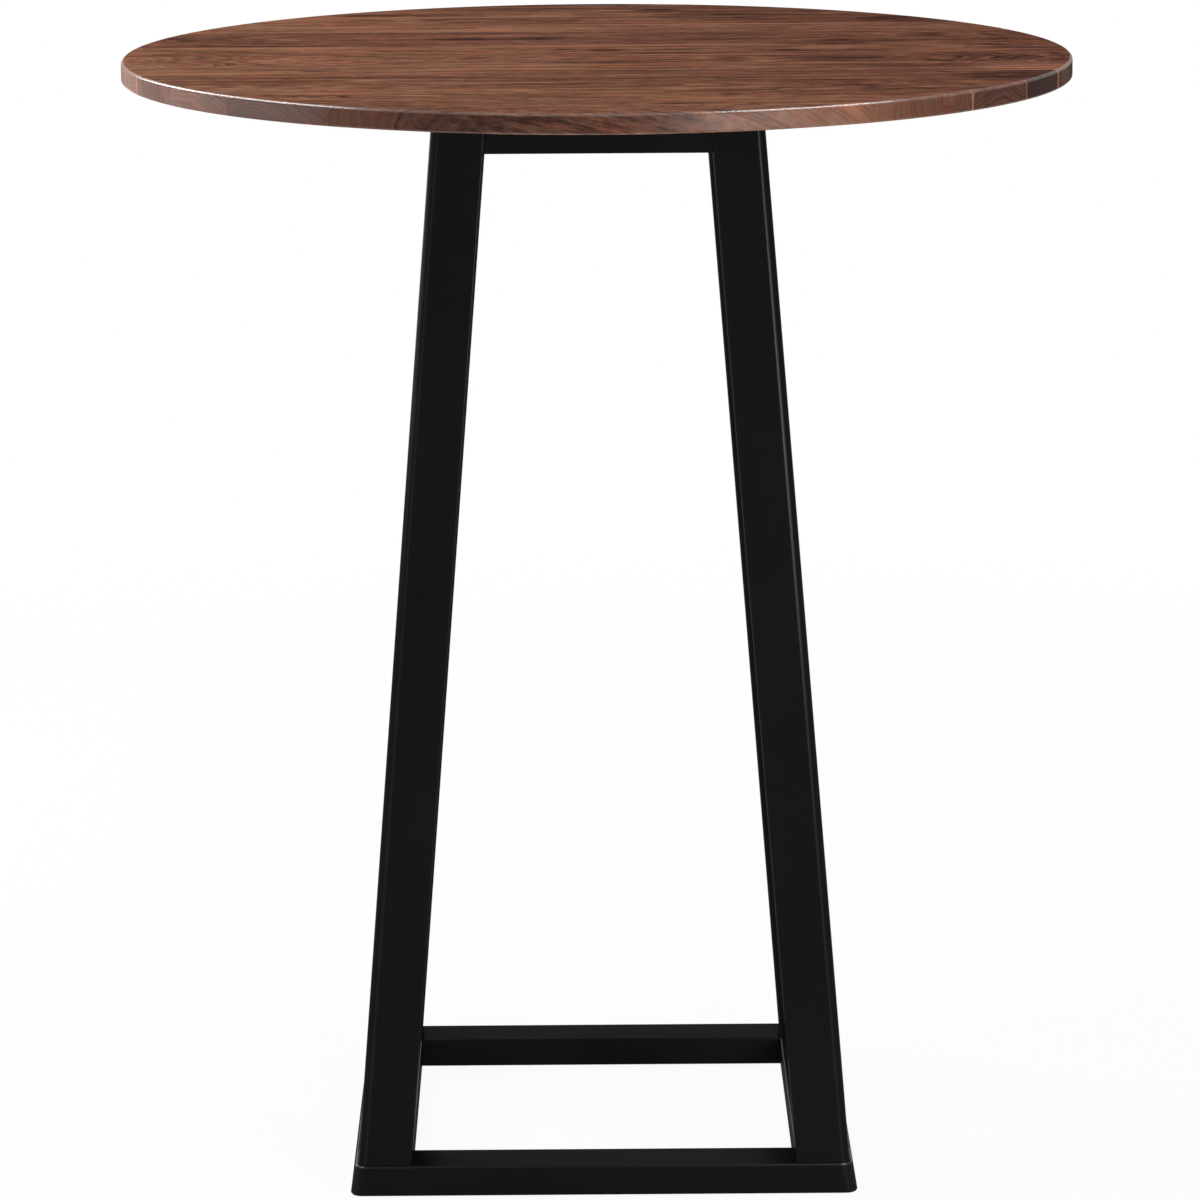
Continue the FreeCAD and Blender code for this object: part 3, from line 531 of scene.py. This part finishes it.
def side_figure(recipe, wood):
    """Flames, streaks and dashes along the grain, which end grain doesn't show."""
    end = recipe.number("ABSOLUTE", recipe.vector("DOT_PRODUCT", recipe.normal, (1, 0, 0)))
    side = recipe.number("SUBTRACT", 1.0, recipe.spread(end, *END_GRAIN_SPAN))
    figure = recipe.total(
        recipe.swing(recipe.noise(wood.wandering, FLAMES, wood.seed), FLAME_SWING),
        recipe.swing(recipe.noise(wood.wandering, STREAKS, wood.seed), STREAK_SWING),
        recipe.swing(recipe.noise(wood.warped, DASHES, wood.seed), DASH_SWING),
    )
    return recipe.times(side, figure)


def rim_tone_and_painted_light(recipe):
    """Darker and paler stretches of the sawn rim from left to right, partly the wood's own tone and partly
    painted shade and sheen.
    """
    place = recipe.spread(recipe.across_table, -TOP_RADIUS, TOP_RADIUS)
    return recipe.times(recipe.number("SUBTRACT", recipe.steps(place, RIM_TONES_AND_PAINTED_LIGHT), 0.5), RIM_TONE_AND_LIGHT_REACH)


def stave_marks_and_seam_highlights(recipe, wood, near, far):
    """The dark and pale marks of one stave, and the painted highlights along its seams."""
    feather = recipe.noise(recipe.place, RAGGED_ENDS, wood.seed)
    ragged = recipe.vector("ADD", recipe.place, recipe.sway(feather, RAGGED_SWAY))
    marks = []
    for x, y, half_length, half_width, amount in MARKS_AND_SEAM_HIGHLIGHTS:
        if near < y * MM < far:
            place = ragged if half_width > THIN_MARK else recipe.place
            marks.append(marked(recipe, place, x, y, half_length, half_width, amount))
    return marks


def marked(recipe, place, x, y, half_length, half_width, amount):
    """Soft-edged oval mark on the figure, which also draws the painted seam highlights."""
    from_middle = recipe.vector("SUBTRACT", place, (x * MM, y * MM, 0))
    shares = recipe.vector("MULTIPLY", from_middle, (1 / (half_length * MM), 1 / (half_width * MM), 0))
    return recipe.spread(recipe.vector("LENGTH", shares), *MARK_FADE, 0.0, amount, smooth=True)


def walnut_colour(recipe, wood, darkness):
    """Brown by its darkness, with warm, cool and red patches."""
    warmth = wood.stave.warmth
    drift = recipe.noise(wood.wandering, TINT_PATCHES, wood.seed).outputs["Fac"]
    blush = recipe.noise(wood.warped, RED_PATCHES, wood.seed).outputs["Fac"]
    patches = (
        (recipe.spread(drift, *WARM_SPAN, 0.0, warmth), WARM_TINT),
        (recipe.spread(drift, *COOL_SPAN, 0.0, 1 - warmth), COOL_TINT),
        (recipe.spread(blush, *RED_SPAN), RED_TINT),
    )
    colour = recipe.shade(darkness, WALNUT_COLOURS)
    for share, tint in patches:
        colour = recipe.mix(share, colour, recipe.tint(colour, tint))
    return colour


# Paint, metal and plastic


def rubbed_corner(recipe):
    """Gloss of a leg's paint, highest where a rounded corner starts to turn."""
    sides = recipe.node("ShaderNodeSeparateXYZ")
    recipe.feed(sides.inputs["Vector"], recipe.vector("ABSOLUTE", recipe.normal))
    return recipe.steps(recipe.number("MAXIMUM", sides.outputs["X"], sides.outputs["Y"]), CORNER_GLOSS)


def rubbed_arris(recipe):
    """Gloss of a rail's paint, highest on the arris between its outer face and its top."""
    return recipe.steps(recipe.vector("DOT_PRODUCT", recipe.normal, (0, 0, 1)), ARRIS_GLOSS)


def make_black_paint(name, grain, edge_gloss):
    """Satin black paint over open timber, glossier where its edges are rubbed."""
    recipe = Recipe(name)
    timber = recipe.noise(recipe.place, grain)
    brushed = recipe.noise(recipe.place, BRUSH_MARKS)
    cloud = recipe.noise(recipe.place, PAINT_CLOUD)
    recipe.set_shader("Base Color", recipe.shade(cloud.outputs["Fac"], PAINT_COLOURS))
    recipe.set_shader("Roughness", recipe.total(PAINT_ROUGHNESS, recipe.swing(timber, GRAIN_ROUGHNESS)))
    recipe.set_shader("Specular IOR Level", 0.0)
    recipe.set_shader("Coat Weight", edge_gloss(recipe))
    recipe.set_shader("Coat Roughness", GLOSS_ROUGHNESS)
    relief = recipe.total(timber.outputs["Fac"], recipe.times(brushed.outputs["Fac"], BRUSH_RELIEF_SHARE))
    recipe.bump(relief, *PAINT_RELIEF)
    return recipe.material


def make_metal(name, colour, roughness):
    """Plated metal with faint cloudy marks."""
    recipe = Recipe(name)
    cloud = recipe.noise(recipe.place, METAL_CLOUD)
    dull = [share * DULL_METAL_SHARE for share in colour]
    recipe.set_shader("Base Color", recipe.mix(cloud.outputs["Fac"], (*dull, 1), (*colour, 1)))
    recipe.set_shader("Metallic", 1.0)
    recipe.set_shader("Roughness", recipe.total(roughness, recipe.swing(cloud, CLOUD_ROUGHNESS)))
    recipe.bump(cloud.outputs["Fac"], *METAL_RELIEF)
    return recipe.material


def make_nylon(name):
    """Dark grey moulded nylon, slightly scuffed."""
    recipe = Recipe(name)
    scuffs = recipe.noise(recipe.place, NYLON_SCUFFS)
    recipe.set_shader("Base Color", recipe.shade(scuffs.outputs["Fac"], NYLON_COLOURS))
    recipe.set_shader("Roughness", recipe.total(NYLON_ROUGHNESS, recipe.swing(scuffs, CLOUD_ROUGHNESS)))
    recipe.bump(scuffs.outputs["Fac"], *NYLON_RELIEF)
    return recipe.material


# Pieces


def finish_piece(bm, name, material, node):
    """Turn a finished shape into a piece that stands for a node."""
    mesh = bpy.data.meshes.new(name)
    for face in bm.faces:
        face.smooth = True
    bm.to_mesh(mesh)
    bm.free()
    mesh.set_sharp_from_angle(angle=SHADED_TURN)
    mesh.materials.append(material)
    piece = bpy.data.objects.new(name, mesh)
    bpy.context.scene.collection.objects.link(piece)
    weighted = piece.modifiers.new("even_light", "WEIGHTED_NORMAL")
    weighted.keep_sharp = True
    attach(piece, "root")
    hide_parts(node)


def ease(bm, edges, width, steps, clamp_overlap=False):
    """Take the edges off by a width, flat in one step or rounded in several."""
    return bmesh.ops.bevel(
        bm, geom=edges, offset=width, segments=steps, profile=0.5, affect="EDGES",
        clamp_overlap=clamp_overlap, material=-1,
    )


def make_disc():
    """The round top in one piece, with a small soft chamfer on both edges of its rim."""
    bm = bmesh.new()
    made = bmesh.ops.create_circle(bm, cap_ends=True, radius=TOP_RADIUS, segments=RIM_STEPS)
    bmesh.ops.translate(bm, verts=made["verts"], vec=(0, 0, TOP_UNDER))
    raised = bmesh.ops.extrude_face_region(bm, geom=list(bm.faces))
    upper = [item for item in raised["geom"] if isinstance(item, bmesh.types.BMVert)]
    bmesh.ops.translate(bm, verts=upper, vec=(0, 0, TOP_FACE - TOP_UNDER))
    bmesh.ops.recalc_face_normals(bm, faces=bm.faces)
    for height, chamfer in ((TOP_FACE, TOP_CHAMFER), (TOP_UNDER, UNDER_CHAMFER)):
        rim = [edge for edge in bm.edges if all(abs(vert.co.z - height) < WELD for vert in edge.verts)]
        slopes = set(ease(bm, rim, chamfer, 1)["faces"])
        corners = [edge for edge in bm.edges if len(slopes.intersection(edge.link_faces)) == 1]
        ease(bm, corners, CHAMFER_EASE, CHAMFER_EASE_STEPS)
    return bm


def make_stave(disc, number):
    """One stave cut out of the disc, its seams barely eased."""
    node = f"top_stave_{number:02d}"
    low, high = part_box(node)
    bm = disc.copy()
    if number > 1:
        cut_away(bm, low.y, -1)
    if number < STAVE_COUNT:
        cut_away(bm, high.y, 1)
    long_edges = [edge for edge in bm.edges if is_seam_edge(edge, low.y) or is_seam_edge(edge, high.y)]
    ease(bm, long_edges, SEAM_EASE, SEAM_EASE_STEPS)
    walnut = make_walnut(number, low.y, high.y)
    finish_piece(bm, f"walnut_stave_{number:02d}", walnut, node)


def cut_away(bm, seam, side):
    """Remove what lies on one side of a seam and close the cut."""
    whole = list(bm.verts) + list(bm.edges) + list(bm.faces)
    made = bmesh.ops.bisect_plane(
        bm, geom=whole, plane_co=(0, seam, 0), plane_no=(0, side, 0), clear_outer=True,
    )
    cut_edges = [item for item in made["geom_cut"] if isinstance(item, bmesh.types.BMEdge)]
    bmesh.ops.contextual_create(bm, geom=cut_edges)


def is_seam_edge(edge, seam):
    """True for a seam's long edges and the ends that meet the rim."""
    return len(edge.link_faces) == 2 and all(abs(vert.co.y - seam) < WELD for vert in edge.verts)


def make_top():
    """The staves, each cut from a copy of the round top."""
    disc = make_disc()
    for number in range(1, STAVE_COUNT + 1):
        make_stave(disc, number)
    disc.free()


def make_painted(node, material):
    """A timber of the frame with every edge slightly eased, as paint leaves it."""
    bm = bmesh.new()
    bm.from_mesh(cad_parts[node].data)
    bmesh.ops.remove_doubles(bm, verts=bm.verts, dist=WELD)
    bmesh.ops.dissolve_limit(
        bm, angle_limit=FLAT_TURN, use_dissolve_boundaries=False, verts=bm.verts, edges=bm.edges,
    )
    sharp = [
        edge for edge in bm.edges
        if len(edge.link_faces) == 2 and edge.calc_face_angle(0) > SHARP_TURN
    ]
    ease(bm, sharp, PAINT_EASE, PAINT_EASE_STEPS, clamp_overlap=True)
    finish_piece(bm, f"painted_{node}", material, node)


def coat_nodes(material, *nodes):
    """Give nodes that keep their own shape a better material."""
    for node in nodes:
        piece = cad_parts[node]
        for slot in piece.material_slots:
            slot.material = material


def make_frame():
    """Legs, rails and blocks in black paint."""
    upright = make_black_paint("black_paint_upright", UPRIGHT_GRAIN, rubbed_corner)
    along_x = make_black_paint("black_paint_along_x", GRAIN_ALONG_X, rubbed_arris)
    along_y = make_black_paint("black_paint_along_y", GRAIN_ALONG_Y, rubbed_arris)
    for node in LEGS:
        make_painted(node, upright)
    for node in RAILS_ALONG_X:
        make_painted(node, along_x)
    for node in RAILS_ALONG_Y:
        make_painted(node, along_y)
    for node in BLOCKS:
        make_painted(node, along_x)


def make_fittings():
    """Metal and plastic on the small fittings."""
    zinc = make_metal("bright_zinc", ZINC_COLOUR, ZINC_ROUGHNESS)
    brass = make_metal("brass", BRASS_COLOUR, BRASS_ROUGHNESS)
    coat_nodes(zinc, "top_bolts", "top_bolt_washers", "leg_foot_screws")
    coat_nodes(brass, "threaded_inserts")
    coat_nodes(make_nylon("grey_nylon"), "floor_glides")


# Camera, light and ground

CAMERA_PLACE = Vector((-0.02785, -5.3781, 1.6868))
CAMERA_YAW = math.radians(-0.2998)
CAMERA_PITCH = math.radians(12.1236)
CAMERA_ROLL = math.radians(-0.3178)
FOCAL_PIXELS = 5618.6
FRAME_PIXELS = 1200
SENSOR_MM = 36
CAMERA_REACH = 200

# The studio's lamps: their ends, the point that each faces, its width in metres and its watts.
Lamp = namedtuple("Lamp", "name start end target width power")
TOP_MIDDLE = (0, 0, 1.06)
UNDER_TOP = (0, 0, 1.0)
LEG_HEADS = (0, 0, 0.9)
LAMPS = (
    Lamp("left_softbox", (-1.95, 2.25, 1.75), (-1.62, -0.17, 3.32), TOP_MIDDLE, 0.20, 44),
    Lamp("right_softbox", (0.75, -0.58, 3.4), (1.9, 0.15, 3.4), TOP_MIDDLE, 0.15, 24),
    Lamp("front_softbox", (-1.0, -1.5, 3.0), (1.0, -1.5, 3.0), TOP_MIDDLE, 0.14, 6),
    Lamp("low_left_panel", (-2.15, 1.45, 0.8), (-2.75, -1.25, 0.8), UNDER_TOP, 0.4, 29),
    Lamp("low_back_panel", (-1.05, 2.2, 0.7), (-2.1, 1.5, 0.8), UNDER_TOP, 0.4, 8),
    Lamp("low_right_panel", (0.9, -3.25, 0.75), (2.55, -2.15, 0.75), LEG_HEADS, 0.4, 28),
    Lamp("right_strip", (1.45, -2.9, 0.55), (1.45, -2.9, 1.5), LEG_HEADS, 0.08, 12),
)
WORLD_LIGHT = 0.22

# The floor, and how its own white grows with the distance from the table's middle, so that the
# shadow fades out.
FLOOR_REACH = 40
FLOOR_COLOUR = (0.90, 0.90, 0.90, 1)
FLOOR_ROUGHNESS = 0.9
WHITE_GROWS = (0.5, 3.0)
WHITE_SHARES = (0.94, 1.0)
WHITE = (1, 1, 1, 1)


def make_camera():
    """Camera at the photograph's place and angle."""
    data = bpy.data.cameras.new("photo_camera")
    data.sensor_width = SENSOR_MM
    data.lens = FOCAL_PIXELS / FRAME_PIXELS * SENSOR_MM
    data.clip_end = CAMERA_REACH
    camera = bpy.data.objects.new("photo_camera", data)
    turned = (
        Matrix.Rotation(CAMERA_YAW, 4, "Z")
        @ Matrix.Rotation(math.radians(90) - CAMERA_PITCH, 4, "X")
        @ Matrix.Rotation(CAMERA_ROLL, 4, "Z")
    )
    camera.matrix_world = Matrix.Translation(CAMERA_PLACE) @ turned
    bpy.context.scene.collection.objects.link(camera)
    bpy.context.scene.camera = camera


def add_lamp(lamp):
    """Long soft lamp between two points, turned to face a third."""
    start, end = Vector(lamp.start), Vector(lamp.end)
    middle = (start + end) / 2
    data = bpy.data.lights.new(lamp.name, "AREA")
    data.shape = "RECTANGLE"
    data.size = (end - start).length
    data.size_y = lamp.width
    data.energy = lamp.power
    backward = (middle - Vector(lamp.target)).normalized()
    sideways = backward.cross(end - start).normalized()
    lengthwise = sideways.cross(backward)
    turned = Matrix((lengthwise, sideways, backward)).transposed().to_4x4()
    box = bpy.data.objects.new(lamp.name, data)
    box.matrix_world = Matrix.Translation(middle) @ turned
    box.visible_camera = False
    bpy.context.scene.collection.objects.link(box)


def make_lights():
    """Soft boxes above the table, and low panels beside it that show in its edges."""
    for lamp in LAMPS:
        add_lamp(lamp)


def make_world():
    """White behind the table, soft grey light around it."""
    world = bpy.data.worlds.new("studio")
    bpy.context.scene.world = world
    world.use_nodes = True
    tree = world.node_tree
    tree.nodes.clear()
    path = tree.nodes.new("ShaderNodeLightPath")
    lit = tree.nodes.new("ShaderNodeBackground")
    lit.inputs["Color"].default_value = WHITE
    lit.inputs["Strength"].default_value = WORLD_LIGHT
    white = tree.nodes.new("ShaderNodeBackground")
    white.inputs["Color"].default_value = WHITE
    white.inputs["Strength"].default_value = 1.0
    seen = path.outputs["Is Camera Ray"]
    for kind in ("Is Glossy Ray", "Is Transmission Ray"):
        either = tree.nodes.new("ShaderNodeMath")
        either.operation = "MAXIMUM"
        tree.links.new(seen, either.inputs[0])
        tree.links.new(path.outputs[kind], either.inputs[1])
        seen = either.outputs[0]
    mix = tree.nodes.new("ShaderNodeMixShader")
    tree.links.new(seen, mix.inputs["Fac"])
    tree.links.new(lit.outputs["Background"], mix.inputs[1])
    tree.links.new(white.outputs["Background"], mix.inputs[2])
    output = tree.nodes.new("ShaderNodeOutputWorld")
    tree.links.new(mix.outputs["Shader"], output.inputs["Surface"])


def make_floor():
    """Plain pale floor that keeps the table's shadow and fades to white."""
    bm = bmesh.new()
    bmesh.ops.create_grid(bm, x_segments=1, y_segments=1, size=FLOOR_REACH)
    mesh = bpy.data.meshes.new("pale_floor")
    bm.to_mesh(mesh)
    bm.free()
    floor = bpy.data.objects.new("pale_floor", mesh)
    bpy.context.scene.collection.objects.link(floor)
    recipe = Recipe("pale_floor")
    recipe.set_shader("Base Color", FLOOR_COLOUR)
    recipe.set_shader("Roughness", FLOOR_ROUGHNESS)
    recipe.set_shader("Specular IOR Level", 0.0)
    glow = recipe.node("ShaderNodeEmission")
    glow.inputs["Color"].default_value = WHITE
    distance = recipe.vector("LENGTH", recipe.place)
    away = recipe.spread(distance, *WHITE_GROWS, *WHITE_SHARES, smooth=True)
    path = recipe.node("ShaderNodeLightPath")
    seen = recipe.number("MAXIMUM", path.outputs["Is Camera Ray"], path.outputs["Is Glossy Ray"])
    seen = recipe.number("MAXIMUM", seen, path.outputs["Is Transmission Ray"])
    mixed = recipe.node("ShaderNodeMixShader")
    recipe.feed(mixed.inputs["Fac"], recipe.times(seen, away))
    recipe.tree.links.new(recipe.shader.outputs["BSDF"], mixed.inputs[1])
    recipe.tree.links.new(glow.outputs["Emission"], mixed.inputs[2])
    output = next(node for node in recipe.tree.nodes if node.type == "OUTPUT_MATERIAL")
    recipe.tree.links.new(mixed.outputs["Shader"], output.inputs["Surface"])
    mesh.materials.append(recipe.material)


make_camera()
make_world()
make_lights()
make_floor()
make_top()
make_frame()
make_fittings()
bpy.context.scene.view_settings.view_transform = "Standard"
